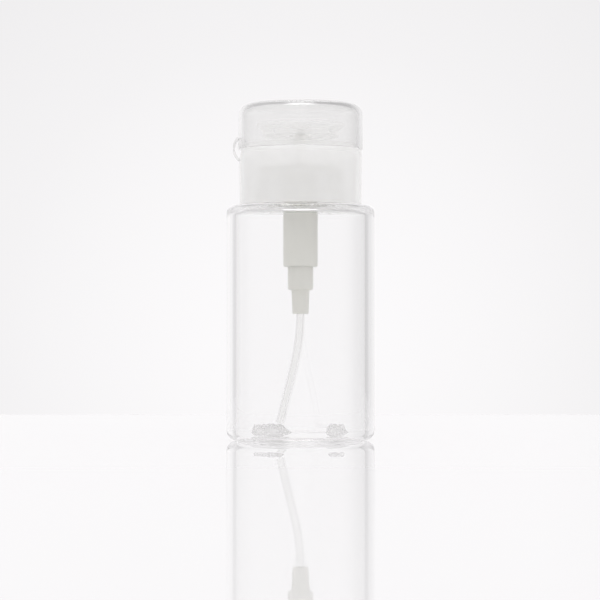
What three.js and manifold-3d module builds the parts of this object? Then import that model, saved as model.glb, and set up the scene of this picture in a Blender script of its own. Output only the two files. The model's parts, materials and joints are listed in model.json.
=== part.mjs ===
// Push-down pump dispenser for liquids: a clear thick-walled bottle, a screw closure with a
// hinged flip lid, and a press tray that works a small piston pump with a dip tube.
// Millimetres, +Z up, origin at the middle of the bottle's underside. The hinge is at -X.
// A length is a size of its own or is worked out from the sizes it has to fit.
import * as THREE from 'three';
import { mergeVertices } from 'three/addons/utils/BufferGeometryUtils.js';
import Module from 'manifold-3d';

const wasm = await Module();
wasm.setup();

// Bottle
const bottleRadius = 30;
const bottleBodyHeight = 94.9;
const bottleWall = 3.8;
const shoulderThickness = 2.2;
const shoulderRounding = 2.8;
const heelRounding = 3;
const innerRounding = 2.2;
const standingRingWidth = 5.5;
const pushUpHeight = 0.9;
const floorThickness = 2.4;
const floorRise = 0.4;
const neckRadius = 15.15;
const neckHeight = 13;
const neckWall = 2.15;
const neckRimRounding = 0.4;

// Thickened pinch-off weld inside the bottle's floor, in two lumps along the mould's parting line
const weldLumpHeight = 4.2;
const weldLumpWidth = 5;
const weldLumpRoot = 0.3;
const longLumpLength = 17;
const longLumpCentre = -11.7;
const longLumpOuterSlope = 1.4;
const longLumpInnerSlope = 4.9;
const shortLumpLength = 10.2;
const shortLumpCentre = 15;
const shortLumpInnerSlope = 0.5;
const shortLumpOuterSlope = 2.8;

// Screw thread, shared by the neck and the closure
const threadPitch = 4.2;
const threadDepth = 1.1;
const threadRootWidth = 2;
const threadCrestWidth = 1;
const threadClearance = 0.35;
const threadRoot = 0.4;
const neckThreadTurns = 1.25;
const neckThreadStart = 4.6;
const closureThreadTurns = 1;
const threadFadeShare = 0.12;

// Closure: outer skirt, threaded sleeve, deck, diaphragm and the ring that the lid closes on
const closureRadius = 25;
const closureTaper = 0.25;
const closureHeight = 22.4;
const closureGap = 0.5;
const skirtWall = 2.2;
const sleeveWall = 1.5;
const sleeveLift = 0.7;
const deckThickness = 1.8;
const deckDrop = 0.9;
const diaphragmThickness = 1.4;
const lidSeatWidth = 1.95;
const lidSeatHeight = 2.1;
const lidSeatWall = 1.3;
const topEdgeBevel = 1.2;
const edgeRounding = 0.4;

// Flip lid
const lidOverhang = 0.25;
const lidHeight = 18.1;
const lidWall = 2.05;
const lidTopThickness = 1.6;
const lidCornerRounding = 4.6;
const lidInnerRounding = 3;
const lidGap = 0.3;

// Moulded strap hinge between closure and lid, thinned to a film at its outermost line
const hingeReach = 1.95;
const hingeWidth = 12;
const strapThickness = 1.05;
const strapHeight = 4.4;
const strapBulge = 0.35;
const strapSink = 1;
const filmGap = 0.15;
const hingePocketDepth = 2.1;
const hingePocketHeight = 3.8;
const hingePocketMargin = 0.5;

// Pump body, seen through the bottle
const pumpRadius = 7;
const pumpWall = 1.4;
const pumpDrop = 37.7;
const pumpFlangeInset = 0.3;
const pumpFlangeThickness = 1.3;
const pumpEndRounding = 0.8;
const gasketThickness = 1;
const gasketInset = 0.2;
const lipHeight = 1;
const lipWidth = 0.3;

// Stem guide and its wiper ring, at the top of the pump body
const guidePocketWall = 0.7;
const guideDepth = 5;
const guideTopHeight = 2.9;
const guideFlange = 1.1;
const guideFlangeThickness = 0.8;
const wiperWall = 1.25;
const wiperHeight = 1.8;
const wiperLip = 0.6;
const wiperGrip = 0.06;
const wiperHollow = 0.18;
const wiperCover = 1.1;

// Foot valve with its ball, cage and tube socket
const footWall = 1.15;
const footLength = 9;
const footShoulder = 0.6;
const spigotLength = 3.6;
const inletBore = 1.6;
const seatHeight = 10.9;
const nippleLength = 9.4;
const nippleTopRadius = 3.65;
const nippleEndRadius = 3.25;
const tubeSocketDepth = 9;
const inletBallPlay = 0.55;
const inletBallLift = 1;
const cageWall = 0.9;
const cageFlangeThickness = 0.8;
const cageLipThickness = 1;
const cageLipBore = 1.5;
const cageSlotWidth = 1.3;
const cageSlotHeight = 2.2;

// Dip tube: straight below its socket, then a bend, then straight again
const tubeRadius = 1.7;
const tubeWall = 0.65;
const tubeBendRadius = 85;
const tubeLean = THREE.MathUtils.degToRad(13.8);
const tubeTipClearance = 0.6;

// Stem, piston and return spring
const stemRadius = 2.6;
const stemBore = 1.1;
const stemCollarWidth = 0.8;
const stemCollarThickness = 0.9;
const stemStopWidth = 1.1;
const stemStopThickness = 0.9;
const stemSeatWidth = 0.6;
const pistonHeight = 5;
const pistonWaist = 0.6;
const pistonLip = 1.1;
const pistonLipBevel = 0.5;
const springWire = 0.8;
const springInset = 0.9;
const springActiveTurns = 6;
const springEndPitch = 1.35;

// Press head: plunger, tray, outlet ball and nozzle cap
const pressStroke = 6.5;
const plungerInset = 1.1;
const plungerSkirtHeight = 2.2;
const plungerSkirtWall = 1.3;
const plungerDisc = 1.3;
const bossWall = 1.65;
const stemEngagement = 3.8;
const chamberWall = 1.2;
const outletBallRadius = 1.6;
const outletBallPlay = 0.45;
const outletBallLift = 0.8;
const trayOverhang = 2.3;
const trayHeight = 3;
const trayRimWidth = 1.2;
const trayRimHeight = 0.9;
const trayFloor = 1.1;
const trayFall = 0.4;
const trayRounding = 1.6;
const nozzleWall = 0.95;
const nozzleTop = 0.8;
const nozzleSlotWidth = 0.7;
const nozzleSlotReach = 0.6;

// Fits
const slideFit = 0.15;
const seatGap = 0.1;
const stopGap = 0.3;
const ballGap = 0.1;
const cutOverrun = 1;

// Roundness of the revolved pieces
const wideSegments = 48;
const bodySegments = 32;
const smallSegments = 24;
const tubeSides = 10;
const tubeSteps = 18;
const largeArcSteps = 4;
const smallArcSteps = 2;
const largeArcRadius = 1.5;
const threadSegments = 30;
const springSteps = 8;
const springSides = 5;

// Radii of pieces that fit in one another, from the outside in
const sleeveBore = neckRadius + threadDepth + threadClearance;
const hingeRadius = closureRadius + hingeReach;
const plungerRadius = sleeveBore - plungerInset;
const trayRadius = plungerRadius + trayOverhang;
const guidePocketRadius = pumpRadius - guidePocketWall;
const guideRadius = guidePocketRadius - slideFit;
const pumpBore = pumpRadius - pumpWall;
const springRadius = pumpBore - springInset - springWire / 2;
const spigotRadius = pumpBore - slideFit;
const lipBore = pumpBore - lipWidth;
const footRadius = lipBore - slideFit;
const valveBore = footRadius - footWall;
const cageRadius = valveBore - slideFit;
const cageBore = cageRadius - cageWall;
const inletBallRadius = cageBore - inletBallPlay;
const stemSocket = stemRadius + slideFit;
const chamberBore = outletBallRadius + outletBallPlay;
const chamberRadius = chamberBore + chamberWall;
const nozzleBore = chamberRadius + slideFit;

// Heights above the table
const rimHeight = bottleBodyHeight + neckHeight;
const closureBase = bottleBodyHeight + closureGap;
const tubeTipHeight = floorThickness + weldLumpHeight + tubeTipClearance;

// Heights above the bottle's rim
const flangeBase = 2 * seatGap + gasketThickness;
const flangeTop = flangeBase + pumpFlangeThickness;
const guideBase = flangeTop - guideDepth;
const guideTop = flangeTop + seatGap + guideTopHeight;
const wiperBase = guideTop - wiperCover - wiperHeight;
const stemStopTop = guideBase - stopGap;
const stemStopBase = stemStopTop - stemStopThickness;
const pistonBase = stemStopBase - seatGap - pistonHeight;
const stemBase = pistonBase - seatGap - stemCollarThickness;
const stemTop = guideTop + pressStroke + stopGap + stemEngagement;
const spigotBase = -pumpDrop + lipHeight + seatGap;
const spigotTop = spigotBase + spigotLength;
const cageTop = spigotTop + seatGap + cageFlangeThickness;
const footBase = -pumpDrop - footLength - footShoulder - nippleLength;

// A ball rests on a 45 degree seat: its centre's height above the seat's narrow end
const seatedHeight = (ballRadius, bore) => Math.SQRT2 * (ballRadius + ballGap) - bore;
const inletBallHeight = footBase + seatHeight + seatedHeight(inletBallRadius, inletBore);

// Height of the diaphragm's underside above the closure's lower edge
const diaphragmBase = rimHeight + flangeTop + seatGap - closureBase;

// Heights above the stem's top
const plungerDiscTop = seatGap + plungerDisc;
const trayBase = plungerDiscTop + seatGap;
const outletBallHeight = seatedHeight(outletBallRadius, stemBore) - stemSeatWidth;
const chamberTop = outletBallHeight + outletBallRadius + outletBallLift + stopGap;

const vector = (x, y) => new THREE.Vector2(x, y);

// Corners [radius, height, rounding] as an outline, each rounded corner drawn as an arc.
function rounded(corners) {
  return corners.flatMap(([x, y, rounding = 0], i) => {
    const corner = vector(x, y);
    if (!rounding) return [corner];
    const [beforeX, beforeY] = corners.at(i - 1);
    const [afterX, afterY] = corners[(i + 1) % corners.length];
    const toBefore = vector(beforeX, beforeY).sub(corner).normalize();
    const toAfter = vector(afterX, afterY).sub(corner).normalize();
    const half = Math.acos(THREE.MathUtils.clamp(toBefore.dot(toAfter), -1, 1)) / 2;
    const toCentre = toBefore.clone().add(toAfter).normalize();
    const centre = corner.clone().addScaledVector(toCentre, rounding / Math.sin(half));
    const reach = rounding / Math.tan(half);
    const start = corner.clone().addScaledVector(toBefore, reach).sub(centre);
    const sweep = (Math.PI - 2 * half) * Math.sign(toAfter.cross(toBefore));
    const steps = rounding > largeArcRadius ? largeArcSteps : smallArcSteps;
    return Array.from({ length: steps + 1 }, (_, step) =>
      start.clone().rotateAround(vector(0, 0), (sweep * step) / steps).add(centre));
  });
}

// A closed geometry as a solid that can be joined and cut.
function solid(geometry) {
  const bare = geometry.clone();
  bare.deleteAttribute('normal');
  bare.deleteAttribute('uv');
  const merged = mergeVertices(bare);
  const corners = Array.from(merged.index.array);
  const triVerts = [];
  for (let i = 0; i < corners.length; i += 3) {
    const [a, b, c] = corners.slice(i, i + 3);
    if (a !== b && b !== c && c !== a) triVerts.push(a, b, c);
  }
  return new wasm.Manifold(new wasm.Mesh({
    numProp: 3,
    vertProperties: merged.attributes.position.array,
    triVerts: new Uint32Array(triVerts),
  }));
}

// A solid as a geometry again.
function geometryOf(shape) {
  const { vertProperties, triVerts } = shape.getMesh();
  const geometry = new THREE.BufferGeometry();
  geometry.setAttribute('position', new THREE.BufferAttribute(vertProperties, 3));
  geometry.setIndex(new THREE.BufferAttribute(triVerts, 1));
  geometry.computeVertexNormals();
  return geometry;
}

// A profile turned about Z. A ring's profile closes on itself; others start and end on the axis.
function revolved(corners, segments, isRing = true) {
  const outline = rounded(corners);
  if (THREE.ShapeUtils.area(outline) < 0) outline.reverse();
  if (isRing) outline.push(outline[0].clone());
  return solid(new THREE.LatheGeometry(outline, segments).rotateX(Math.PI / 2));
}

// An outline in X and Z, drawn through the part along Y and centred on it.
function prism(outline, width) {
  const geometry = new THREE.ExtrudeGeometry(new THREE.Shape(outline), {
    depth: width,
    bevelEnabled: false,
    curveSegments: largeArcSteps,
  });
  return solid(geometry.translate(0, 0, -width / 2).rotateX(Math.PI / 2));
}

function box(width, depth, height) {
  return solid(new THREE.BoxGeometry(width, depth, height));
}

// Rings of points joined into one closed tube with flat ends.
function tubeOfRings(rings) {
  const sides = rings[0].length;
  const positions = rings.flat().flatMap((point) => point.toArray());
  const index = [];
  for (let ring = 0; ring < rings.length - 1; ring += 1) {
    for (let side = 0; side < sides; side += 1) {
      const a = ring * sides + side;
      const b = ring * sides + ((side + 1) % sides);
      index.push(a, b, b + sides, a, b + sides, a + sides);
    }
  }
  const last = (rings.length - 1) * sides;
  for (let side = 1; side < sides - 1; side += 1) {
    index.push(0, side + 1, side);
    index.push(last, last + side, last + side + 1);
  }
  const geometry = new THREE.BufferGeometry();
  geometry.setAttribute('position', new THREE.Float32BufferAttribute(positions, 3));
  geometry.setIndex(index);
  const made = solid(geometry);
  return made.volume() > 0 ? made : tubeOfRings(rings.toReversed());
}

// One helical ridge on a wall. It stands inwards or outwards and fades away at both ends.
function threadRidge(wallRadius, outwards, turns, startHeight) {
  const steps = Math.ceil(turns * threadSegments);
  const rings = Array.from({ length: steps + 1 }, (_, step) => {
    const share = step / steps;
    const angle = share * turns * 2 * Math.PI;
    const fade = Math.min(1, Math.min(share, 1 - share) / threadFadeShare);
    const middle = startHeight + (threadPitch * angle) / (2 * Math.PI);
    const crest = wallRadius + outwards * threadDepth * fade;
    const root = wallRadius - outwards * threadRoot;
    const at = (radius, height) =>
      new THREE.Vector3(radius * Math.cos(angle), radius * Math.sin(angle), height);
    return [
      at(root, middle - threadRootWidth / 2),
      at(crest, middle - threadCrestWidth / 2),
      at(crest, middle + threadCrestWidth / 2),
      at(root, middle + threadRootWidth / 2),
    ];
  });
  return tubeOfRings(rings);
}

function makeMaterial(color, roughness, opacity = 1, metalness = 0) {
  return new THREE.MeshStandardMaterial({
    color, roughness, metalness, opacity, transparent: opacity < 1,
  });
}

const materials = {
  bottle: makeMaterial(0xf4f4f6, 0.05, 0.3),
  closure: makeMaterial(0xe6e6e4, 0.25, 0.6),
  pump: makeMaterial(0xd0d0cb, 0.4),
  tube: makeMaterial(0xececea, 0.3, 0.6),
  seal: makeMaterial(0xdfe1dd, 0.6),
  steel: makeMaterial(0xc6c8ca, 0.25, 1, 1),
};

function piece(name, shape, material, height = 0) {
  const mesh = new THREE.Mesh(geometryOf(shape), material);
  mesh.name = name;
  mesh.position.z = height;
  return mesh;
}

// The points of a shallow dome, from its rim to its top on the axis.
function dome(radius, height, rise) {
  const sphere = (radius * radius + rise * rise) / (2 * rise);
  const sweep = Math.asin(radius / sphere);
  return Array.from({ length: largeArcSteps + 1 }, (_, step) => {
    const angle = sweep * (1 - step / largeArcSteps);
    return [sphere * Math.sin(angle), height + rise - sphere * (1 - Math.cos(angle))];
  });
}

// The bottle: pushed-up base, heel, straight wall, flat shoulder and threaded neck.
function bottleShape() {
  const innerRadius = bottleRadius - bottleWall;
  const neckBore = neckRadius - neckWall;
  const standingRadius = bottleRadius - heelRounding - standingRingWidth;
  const underside = dome(standingRadius, 0, pushUpHeight).reverse();
  const inside = dome(standingRadius, floorThickness, floorRise);
  const shell = revolved([
    ...underside,
    [bottleRadius, 0, heelRounding],
    [bottleRadius, bottleBodyHeight, shoulderRounding],
    [neckRadius, bottleBodyHeight],
    [neckRadius, rimHeight, neckRimRounding],
    [neckBore, rimHeight, neckRimRounding],
    [neckBore, bottleBodyHeight - shoulderThickness],
    [innerRadius, bottleBodyHeight - shoulderThickness, innerRounding],
    [innerRadius, floorThickness, innerRounding],
    ...inside,
  ], wideSegments, false);
  return shell
    .add(threadRidge(neckRadius, 1, neckThreadTurns, bottleBodyHeight + neckThreadStart))
    .add(weldLump(longLumpLength, longLumpCentre, longLumpOuterSlope, longLumpInnerSlope))
    .add(weldLump(shortLumpLength, shortLumpCentre, shortLumpInnerSlope, shortLumpOuterSlope));
}

// A low ridge of extra material with sloping ends, rooted in the floor.
function weldLump(length, centre, leftSlope, rightSlope) {
  const bottom = pushUpHeight + weldLumpRoot;
  const top = floorThickness + weldLumpHeight;
  const left = centre - length / 2;
  const right = centre + length / 2;
  return prism([
    vector(left, bottom),
    vector(right, bottom),
    vector(right, floorThickness),
    vector(right - rightSlope, top),
    vector(left + leftSlope, top),
    vector(left, floorThickness),
  ], weldLumpWidth);
}

// The closure, from its lower edge up.
function closureShape() {
  const deckTop = closureHeight - deckDrop;
  const seatRadius = closureRadius - lidSeatWidth;
  const seatBore = seatRadius - lidSeatWall;
  const seatTop = closureHeight + lidSeatHeight;
  const skirtBore = closureRadius - skirtWall;
  const sleeveRadius = sleeveBore + sleeveWall;
  const stemOpening = guideRadius + guideFlange + stopGap;
  const shell = revolved([
    [closureRadius - closureTaper, 0, edgeRounding],
    [closureRadius, closureHeight - topEdgeBevel, edgeRounding],
    [closureRadius - topEdgeBevel / 2, closureHeight],
    [seatRadius, closureHeight],
    [seatRadius, seatTop, edgeRounding],
    [seatBore, seatTop, edgeRounding],
    [seatBore, deckTop],
    [sleeveBore, deckTop, edgeRounding],
    [sleeveBore, diaphragmBase + diaphragmThickness],
    [stemOpening, diaphragmBase + diaphragmThickness],
    [stemOpening, diaphragmBase],
    [sleeveBore, diaphragmBase],
    [sleeveBore, sleeveLift],
    [sleeveRadius, sleeveLift],
    [sleeveRadius, deckTop - deckThickness],
    [skirtBore, deckTop - deckThickness],
    [skirtBore - closureTaper, 0],
  ], wideSegments);
  const threadStart = bottleBodyHeight + neckThreadStart - threadPitch / 2 - closureBase;
  return shell
    .add(threadRidge(sleeveBore, -1, closureThreadTurns, threadStart))
    .subtract(hingePocket())
    .add(strapHalf(-1, closureRadius).translate(0, 0, closureHeight));
}

// The slanted notch in the closure's edge that the strap folds over, clear of the lid's seat.
function hingePocket() {
  const surface = -closureRadius;
  const low = closureHeight - strapHeight;
  const top = closureHeight + cutOverrun;
  const notch = prism([
    vector(surface - cutOverrun, low),
    vector(surface, low),
    vector(surface + hingePocketDepth, low + hingePocketHeight),
    vector(surface + hingePocketDepth, top),
    vector(surface - cutOverrun, top),
  ], hingeWidth + 2 * hingePocketMargin);
  const keptRadius = closureRadius - lidSeatWidth;
  const kept = revolved([
    [0, 0],
    [keptRadius, 0],
    [keptRadius, top + cutOverrun],
    [0, top + cutOverrun],
  ], wideSegments, false);
  return notch.subtract(kept);
}

// Half of the strap, in X and Z from the hinge line: it leans from the wall out to the film.
// side is -1 for the closure's half, below the hinge line, and 1 for the lid's half.
function strapHalf(side, wallRadius) {
  const outer = -hingeRadius;
  const wall = -wallRadius;
  const outline = new THREE.Shape();
  outline.moveTo(outer, side * filmGap);
  outline.quadraticCurveTo(
    (outer + wall) / 2 - strapBulge, (side * strapHeight) / 2,
    wall, side * strapHeight,
  );
  outline.lineTo(wall + strapSink, side * strapHeight);
  outline.lineTo(wall + strapSink, side * (strapHeight - strapThickness));
  outline.lineTo(wall, side * (strapHeight - 2 * strapThickness));
  outline.lineTo(outer + strapThickness, side * filmGap);
  const points = outline.getPoints(largeArcSteps);
  return prism(points, hingeWidth);
}

// The lid, from the hinge line up.
function lidShape() {
  const radius = closureRadius + lidOverhang;
  const bore = radius - lidWall;
  const shell = revolved([
    [0, lidGap + lidHeight - lidTopThickness],
    [bore, lidGap + lidHeight - lidTopThickness, lidInnerRounding],
    [bore, lidGap],
    [radius, lidGap, edgeRounding],
    [radius, lidGap + lidHeight, lidCornerRounding],
    [0, lidGap + lidHeight],
  ], wideSegments, false);
  return shell.add(strapHalf(1, radius));
}

// The pump body hangs from the flange that the closure clamps on the bottle's rim.
function pumpBodyShape() {
  const flangeRadius = neckRadius - pumpFlangeInset;
  return revolved([
    [flangeRadius, flangeBase],
    [flangeRadius, flangeTop],
    [guidePocketRadius, flangeTop],
    [guidePocketRadius, guideBase - seatGap],
    [pumpBore, guideBase - seatGap],
    [pumpBore, -pumpDrop + lipHeight],
    [lipBore, -pumpDrop + lipHeight],
    [lipBore, -pumpDrop],
    [pumpRadius, -pumpDrop, pumpEndRounding],
    [pumpRadius, flangeBase],
  ], bodySegments);
}

function gasketShape() {
  const bore = neckRadius - neckWall + gasketInset;
  const radius = neckRadius - gasketInset;
  return revolved([
    [bore, 0],
    [radius, 0],
    [radius, gasketThickness],
    [bore, gasketThickness],
  ], bodySegments);
}

// The guide closes the pump body's top and holds the wiper ring round the stem.
function stemGuideShape() {
  const pocketRadius = stemSocket + wiperWall + slideFit;
  const collarRadius = pocketRadius + guideFlange;
  const flangeLow = flangeTop + seatGap - guideBase;
  const flangeHigh = flangeLow + guideFlangeThickness;
  const top = guideTop - guideBase;
  const pocketFloor = wiperBase - seatGap - guideBase;
  return revolved([
    [stemSocket, 0],
    [guideRadius, 0],
    [guideRadius, flangeLow],
    [guideRadius + guideFlange, flangeLow],
    [guideRadius + guideFlange, flangeHigh, edgeRounding],
    [collarRadius, flangeHigh],
    [collarRadius, top, edgeRounding],
    [pocketRadius, top],
    [pocketRadius, pocketFloor],
    [stemSocket, pocketFloor],
  ], smallSegments);
}

function wiperShape() {
  const bore = stemSocket - wiperGrip;
  const hollow = bore + wiperHollow;
  const radius = stemSocket + wiperWall;
  return revolved([
    [bore, 0],
    [radius, 0],
    [radius, wiperHeight],
    [bore, wiperHeight],
    [hollow, wiperHeight - wiperLip],
    [hollow, wiperLip],
  ], smallSegments);
}

// The foot valve, from the lower end of its tube socket up.
function footValveShape() {
  const socket = tubeRadius + slideFit;
  const bodyBase = nippleLength + footShoulder;
  return revolved([
    [socket, 0],
    [nippleEndRadius, 0, edgeRounding],
    [nippleTopRadius, nippleLength],
    [footRadius, bodyBase],
    [footRadius, spigotBase - footBase],
    [spigotRadius, spigotBase - footBase],
    [spigotRadius, spigotTop - footBase],
    [valveBore, spigotTop - footBase],
    [valveBore, seatHeight + valveBore - inletBore],
    [inletBore, seatHeight],
    [inletBore, tubeSocketDepth],
    [socket, tubeSocketDepth],
  ], bodySegments);
}

function ballShape(radius) {
  return solid(new THREE.SphereGeometry(radius, smallSegments / 2, smallSegments / 3));
}

// The cage keeps the inlet ball near its seat and carries the spring on its flange.
function cageShape() {
  const lipBase = inletBallHeight + inletBallRadius + inletBallLift + stopGap - cageTop;
  const lipTop = lipBase + cageLipThickness;
  const body = revolved([
    [cageLipBore, lipBase],
    [cageRadius, lipBase],
    [cageRadius, -cageFlangeThickness],
    [spigotRadius, -cageFlangeThickness],
    [spigotRadius, 0],
    [cageBore, 0],
    [cageBore, lipTop],
    [cageLipBore, lipTop],
  ], smallSegments);
  const slot = box(2 * cageBore, cageSlotWidth, cageSlotHeight + cutOverrun)
    .translate(0, 0, lipBase + (cageSlotHeight - cutOverrun) / 2);
  return body.subtract(slot).subtract(slot.rotate(0, 0, 90));
}

// The dip tube bends towards -X below its socket and ends just above the bottle's floor.
function dipTubeShape() {
  const top = footBase + tubeSocketDepth - seatGap;
  const bendEnd = footBase - tubeBendRadius * Math.sin(tubeLean);
  const arc = Array.from({ length: largeArcSteps + 1 }, (_, step) => {
    const angle = (tubeLean * step) / largeArcSteps;
    return new THREE.Vector3(
      -tubeBendRadius * (1 - Math.cos(angle)), 0, footBase - tubeBendRadius * Math.sin(angle));
  });
  const drop = bendEnd + rimHeight - tubeTipHeight;
  const tip = arc.at(-1).clone().add(new THREE.Vector3(-drop * Math.tan(tubeLean), 0, -drop));
  const route = new THREE.CatmullRomCurve3([new THREE.Vector3(0, 0, top), ...arc, tip]);
  const section = new THREE.Shape().absarc(0, 0, tubeRadius, 0, 2 * Math.PI);
  section.holes.push(new THREE.Path().absarc(0, 0, tubeRadius - tubeWall, 0, 2 * Math.PI, true));
  return solid(new THREE.ExtrudeGeometry(section, {
    steps: tubeSteps,
    curveSegments: tubeSides / 2,
    extrudePath: route,
  }));
}

// The return spring: closely wound end turns and open turns between them.
function springShape() {
  const low = springWire / 2 + seatGap;
  const high = pistonBase - cageTop - low;
  const activePitch = (high - low - 2 * springEndPitch) / springActiveTurns;
  const turns = springActiveTurns + 2;
  const heightAt = (turn) => {
    const closed = Math.min(turn, 1) + Math.max(0, turn - turns + 1);
    const open = THREE.MathUtils.clamp(turn - 1, 0, springActiveTurns);
    return low + closed * springEndPitch + open * activePitch;
  };
  const line = Array.from({ length: turns * springSteps + 1 }, (_, step) => {
    const turn = step / springSteps;
    const angle = turn * 2 * Math.PI;
    return new THREE.Vector3(
      springRadius * Math.cos(angle), springRadius * Math.sin(angle), heightAt(turn));
  });
  const rings = line.map((centre) => {
    const out = new THREE.Vector3(centre.x, centre.y, 0).normalize();
    return Array.from({ length: springSides }, (_, side) => {
      const angle = (side / springSides) * 2 * Math.PI;
      const up = new THREE.Vector3(0, 0, (springWire / 2) * Math.sin(angle));
      return centre.clone().addScaledVector(out, (springWire / 2) * Math.cos(angle)).add(up);
    });
  });
  const gaps = line.slice(springSteps).map((centre, i) => centre.distanceTo(line[i]) - springWire);
  console.log(`return spring: least gap between turns ${Math.min(...gaps).toFixed(2)} mm`);
  return tubeOfRings(rings);
}

// The hollow stem: a collar under the piston, a stop above it, a ball seat at the top.
function stemShape() {
  const top = stemTop - stemBase;
  const stopLow = stemStopBase - stemBase;
  const stopHigh = stemStopTop - stemBase;
  return revolved([
    [stemBore, 0],
    [stemRadius + stemCollarWidth, 0],
    [stemRadius + stemCollarWidth, stemCollarThickness],
    [stemRadius, stemCollarThickness],
    [stemRadius, stopLow],
    [stemRadius + stemStopWidth, stopLow],
    [stemRadius + stemStopWidth, stopHigh],
    [stemRadius, stopHigh],
    [stemRadius, top],
    [stemBore + stemSeatWidth, top],
    [stemBore, top - stemSeatWidth],
  ], smallSegments);
}

function pistonShape() {
  const lip = pumpBore - slideFit;
  const waist = lip - pistonWaist;
  return revolved([
    [stemSocket, 0],
    [lip, 0],
    [lip, pistonLip],
    [waist, pistonLip + pistonLipBevel],
    [waist, pistonHeight - pistonLip - pistonLipBevel],
    [lip, pistonHeight - pistonLip],
    [lip, pistonHeight],
    [stemSocket, pistonHeight],
  ], bodySegments);
}

// The plunger: a disc with a skirt, and the boss that grips the stem.
function plungerShape() {
  const skirtBase = plungerDiscTop - plungerSkirtHeight;
  const skirtBore = plungerRadius - plungerSkirtWall;
  const bossRadius = stemSocket + bossWall;
  return revolved([
    [stemSocket, -stemEngagement],
    [bossRadius, -stemEngagement, edgeRounding],
    [bossRadius, seatGap],
    [skirtBore, seatGap],
    [skirtBore, skirtBase],
    [plungerRadius, skirtBase, edgeRounding],
    [plungerRadius, plungerDiscTop, edgeRounding],
    [chamberRadius, plungerDiscTop],
    [chamberRadius, chamberTop],
    [chamberBore, chamberTop],
    [chamberBore, seatGap],
    [stemSocket, seatGap],
  ], bodySegments);
}

// The tray: a shallow dish that falls to the nozzle, with an upright rim.
function trayShape() {
  const hole = chamberRadius + slideFit;
  const rimInner = trayRadius - trayRimWidth;
  const rimLow = trayHeight - trayRimHeight - edgeRounding;
  return revolved([
    [hole, 0],
    [plungerRadius, 0, edgeRounding],
    [trayRadius, rimLow, edgeRounding],
    [trayRadius, trayHeight, edgeRounding],
    [rimInner, trayHeight, edgeRounding],
    [plungerRadius - trayRimWidth, trayFloor + trayFall, trayRounding],
    [hole, trayFloor],
  ], wideSegments);
}

// The nozzle cap over the outlet ball, with a crossed slot.
function nozzleShape() {
  const radius = nozzleBore + nozzleWall;
  const base = trayBase + trayFloor + stopGap;
  const roof = chamberTop + seatGap;
  const top = roof + nozzleTop;
  const cap = revolved([
    [0, roof],
    [nozzleBore, roof],
    [nozzleBore, base],
    [radius, base],
    [radius, top, edgeRounding],
    [0, top],
  ], smallSegments, false);
  const slotLength = 2 * (chamberBore + nozzleSlotReach);
  const slot = box(slotLength, nozzleSlotWidth, nozzleTop + 2 * cutOverrun)
    .translate(0, 0, (roof + top) / 2);
  return cap.subtract(slot).subtract(slot.rotate(0, 0, 90));
}

const dispenser = new THREE.Group();
dispenser.add(piece('bottle', bottleShape(), materials.bottle));

const closure = new THREE.Group();
closure.position.z = closureBase;
closure.add(piece('screw_closure', closureShape(), materials.closure));
const lidAtHinge = new THREE.Group();
lidAtHinge.position.set(-hingeRadius, 0, closureHeight);
const flipLid = piece('flip_lid', lidShape(), materials.closure);
flipLid.position.x = hingeRadius;
lidAtHinge.add(flipLid);
closure.add(lidAtHinge);
dispenser.add(closure);

const pump = new THREE.Group();
pump.position.z = rimHeight;
pump.add(
  piece('rim_gasket', gasketShape(), materials.seal, seatGap),
  piece('pump_body', pumpBodyShape(), materials.pump),
  piece('stem_guide', stemGuideShape(), materials.pump, guideBase),
  piece('stem_wiper', wiperShape(), materials.seal, wiperBase),
  piece('foot_valve', footValveShape(), materials.pump, footBase),
  piece('inlet_ball', ballShape(inletBallRadius), materials.steel, inletBallHeight),
  piece('ball_cage', cageShape(), materials.pump, cageTop),
  piece('return_spring', springShape(), materials.steel, cageTop),
  piece('dip_tube', dipTubeShape(), materials.tube),
);

const pressHead = new THREE.Group();
pressHead.position.z = stemTop;
pressHead.add(
  piece('piston_stem', stemShape(), materials.pump, stemBase - stemTop),
  piece('piston_seal', pistonShape(), materials.seal, pistonBase - stemTop),
  piece('press_plunger', plungerShape(), materials.closure),
  piece('outlet_ball', ballShape(outletBallRadius), materials.steel, outletBallHeight),
  piece('press_tray', trayShape(), materials.closure, trayBase),
  piece('nozzle_cap', nozzleShape(), materials.closure),
);
pump.add(pressHead);
dispenser.add(pump);

export default dispenser;
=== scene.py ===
"""Looks for a push-down pump dispenser: a clear bottle, a milky screw closure with a flip lid,
a press tray, and the pump and dip tube that show through the bottle.

Lengths are in millimetres, and MM turns them into Blender's metres where a mesh is made.
Each piece made here takes its main radii and heights from the solid that it stands for. The strap
of the hinge joins two solids, and six hidden inner pieces keep their solids.
"""

import json
import math

import bmesh
import bpy
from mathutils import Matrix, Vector, noise


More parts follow.
